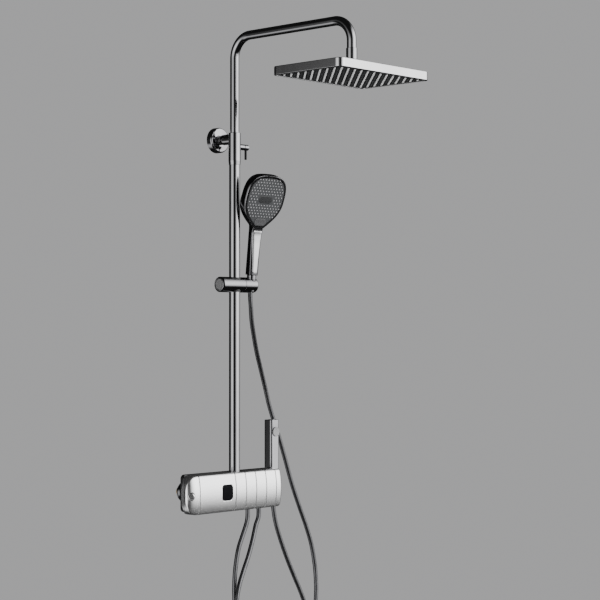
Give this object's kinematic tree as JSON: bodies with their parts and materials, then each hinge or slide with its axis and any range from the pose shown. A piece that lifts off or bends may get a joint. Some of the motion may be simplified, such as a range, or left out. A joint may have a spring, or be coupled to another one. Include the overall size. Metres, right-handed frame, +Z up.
{
  "type": "rainfall shower column",
  "caption": "Wall-mounted shower column: valve bar with piano keys and end knob, telescopic riser with swinging arm and rectangular rain head, sliding handset and spray gun on hoses.",
  "frame": {"origin": "on the wall plane, midway between the two water inlets", "axes": "+X to the right along the wall, +Y into the wall, +Z up"},
  "size_m": [0.4756, 0.513, 1.558],
  "materials": {
    "gunmetal_steel": "polished dark gunmetal plating on steel or brass",
    "gunmetal_plastic": "dark gunmetal plating on moulded plastic",
    "satin_white": "satin white",
    "black_lens": "clear gloss over black",
    "black_plastic": "moulded matt black",
    "dark_face": "fine satin dark grey",
    "nozzle_rubber": "soft grey silicone",
    "steel": "bright steel",
    "chrome": "polished chrome",
    "brass": "cast brass",
    "hose_skin": "smooth dark grey sheath"
  },
  "bodies": {
    "valve_and_riser": {"wall_flange": "gunmetal_steel", "wall_plate": "steel", "wall_screws": "steel", "bracket_post": "gunmetal_steel", "bracket_sleeve": "gunmetal_steel", "grub_screw": "steel", "lower_tube": "gunmetal_steel", "guide_bush": "black_plastic", "inlet_unions": "brass", "union_nuts": "chrome", "escutcheons": "gunmetal_steel", "manifold": "brass", "valve_cover": "satin_white", "rear_housing": "gunmetal_plastic", "end_cap": "satin_white", "display_lens": "black_lens", "display_module": "black_plastic", "thermostat_cartridge": "brass", "key_valves": "brass", "outlet_nuts": "gunmetal_steel", "gun_holder": "gunmetal_plastic", "handset_hose": "hose_skin", "gun_hose": "hose_skin"},
    "lock": {"lock_spindle": "gunmetal_steel", "lock_bar": "gunmetal_steel"},
    "glide": {"tube_glide": "black_plastic"},
    "arm": {"upper_tube": "gunmetal_steel", "arm_nut": "gunmetal_steel", "swivel_ball": "chrome"},
    "seat": {"ball_seat": "black_plastic"},
    "head": {"head_shell": "gunmetal_plastic", "ball_cap": "gunmetal_steel", "head_face": "dark_face", "head_nozzles": "nozzle_rubber"},
    "slider": {"slider_clamp": "gunmetal_plastic", "slider_liner": "black_plastic"},
    "release": {"release_button": "gunmetal_plastic"},
    "holder": {"cradle": "gunmetal_plastic"},
    "handset": {"handset_shell": "gunmetal_plastic", "handset_face": "dark_face", "handset_nozzles": "nozzle_rubber", "handset_badge": "dark_face", "handle_trim": "gunmetal_plastic", "handset_nut": "gunmetal_steel"},
    "mode": {"mode_button": "gunmetal_plastic"},
    "knob": {"knob_cap": "satin_white", "knob_base": "gunmetal_plastic"},
    "safety": {"safety_button": "satin_white"},
    "key_1": {"key_1": "satin_white"},
    "key_2": {"key_2": "satin_white"},
    "key_3": {"key_3": "satin_white"},
    "key_4": {"key_4": "satin_white"},
    "gun": {"gun_body": "gunmetal_plastic", "gun_spray_plate": "steel", "gun_nut": "gunmetal_steel"},
    "trigger": {"gun_button": "gunmetal_plastic"}
  },
  "joints": [
    {"name": "riser_height", "type": "slide", "parent": "valve_and_riser", "child": "glide", "axis": [0, 0, 1], "range_m": [-0.1, 0.07]},
    {"name": "riser_swing", "type": "hinge", "parent": "glide", "child": "arm", "pos_m": [0.02, -0.06, 0.998], "axis": [0, 0, 1], "range_deg": [-60, 60]},
    {"name": "head_pitch", "type": "hinge", "parent": "arm", "child": "seat", "pos_m": [0.02, -0.404, 0.898], "axis": [1, 0, 0], "range_deg": [-12, 12]},
    {"name": "head_roll", "type": "hinge", "parent": "seat", "child": "head", "pos_m": [0.02, -0.404, 0.898], "axis": [0, 1, 0], "range_deg": [-12, 12]},
    {"name": "lock_turn", "type": "hinge", "parent": "valve_and_riser", "child": "lock", "pos_m": [0.0545, -0.06, 0.757], "axis": [1, 0, 0], "range_deg": [-90, 90]},
    {"name": "slider_height", "type": "slide", "parent": "valve_and_riser", "child": "slider", "axis": [0, 0, 1], "range_m": [-0.3, 0.09], "deforming": ["handset_hose"]},
    {"name": "release_press", "type": "slide", "parent": "slider", "child": "release", "axis": [1, 0, 0], "range_m": [0, 0.003], "stiffness_N_per_m": 800},
    {"name": "holder_tilt", "type": "hinge", "parent": "slider", "child": "holder", "pos_m": [0.053, -0.06, 0.452], "axis": [1, 0, 0], "range_deg": [0, 30], "deforming": ["handset_hose"]},
    {"name": "handset_lift", "type": "slide", "parent": "holder", "child": "handset", "axis": [0, -0.1115, 0.9938], "range_m": [0, 0.026]},
    {"name": "mode_press", "type": "slide", "parent": "handset", "child": "mode", "axis": [0.1669, 0.91, 0.3794], "range_m": [0, 0.0015], "stiffness_N_per_m": 600},
    {"name": "knob_turn", "type": "hinge", "parent": "valve_and_riser", "child": "knob", "pos_m": [-0.125, -0.068, 0], "axis": [1, 0, 0], "range_deg": [-120, 45]},
    {"name": "safety_press", "type": "slide", "parent": "knob", "child": "safety", "axis": [0.7071, 0.7071, 0], "range_m": [0, 0.002], "stiffness_N_per_m": 800},
    {"name": "key_1_press", "type": "slide", "parent": "valve_and_riser", "child": "key_1", "axis": [0, 1, 0], "range_m": [0, 0.003], "stiffness_N_per_m": 1500},
    {"name": "key_2_press", "type": "slide", "parent": "valve_and_riser", "child": "key_2", "axis": [0, 1, 0], "range_m": [0, 0.003], "stiffness_N_per_m": 1500},
    {"name": "key_3_press", "type": "slide", "parent": "valve_and_riser", "child": "key_3", "axis": [0, 1, 0], "range_m": [0, 0.003], "stiffness_N_per_m": 1500},
    {"name": "key_4_press", "type": "slide", "parent": "valve_and_riser", "child": "key_4", "axis": [0, 1, 0], "range_m": [0, 0.003], "stiffness_N_per_m": 1500},
    {"name": "gun_lift", "type": "slide", "parent": "valve_and_riser", "child": "gun", "axis": [0, 0, 1], "range_m": [0, 0.026]},
    {"name": "gun_press", "type": "slide", "parent": "gun", "child": "trigger", "axis": [0, 1, 0], "range_m": [0, 0.003], "stiffness_N_per_m": 900}
  ]
}
